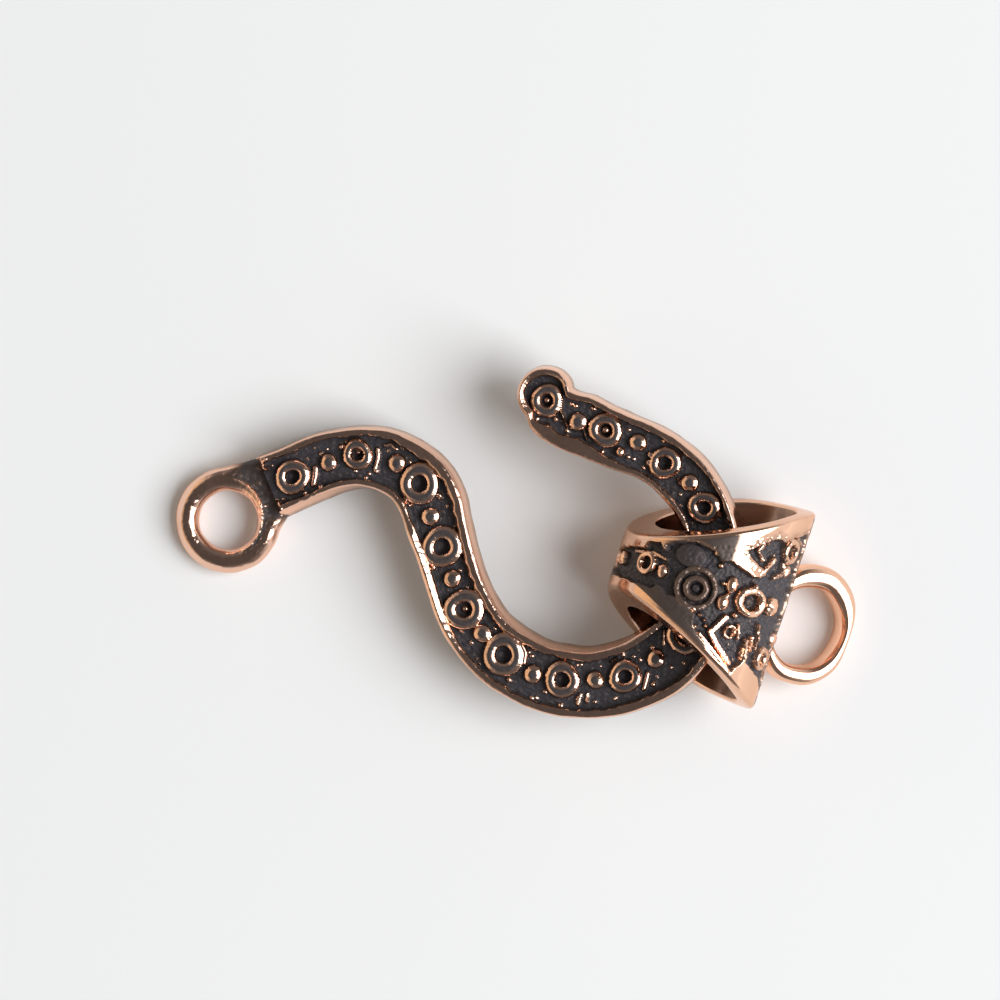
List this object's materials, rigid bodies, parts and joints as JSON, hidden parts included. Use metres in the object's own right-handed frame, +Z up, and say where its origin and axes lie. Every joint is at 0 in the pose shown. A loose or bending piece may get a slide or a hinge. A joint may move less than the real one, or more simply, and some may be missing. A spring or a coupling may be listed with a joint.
{
  "type": "hook and eye clasp",
  "caption": "Antique copper hook and eye clasp: an S-shaped cast hook with a granulated trough passes through a wide wedge-shaped eye with its own loop.",
  "frame": {"origin": "on the floor under the middle of the clasp's box", "axes": "+X from the hook's loop to the eye's loop, +Y across the clasp, +Z up from the surface it lies on"},
  "size_m": [0.0315, 0.0162, 0.0082],
  "materials": {
    "antique_copper": "antiqued, polished on high edges, dark in recesses"
  },
  "bodies": {
    "root": {"hook": "antique_copper", "eye": "antique_copper"}
  },
  "joints": []
}
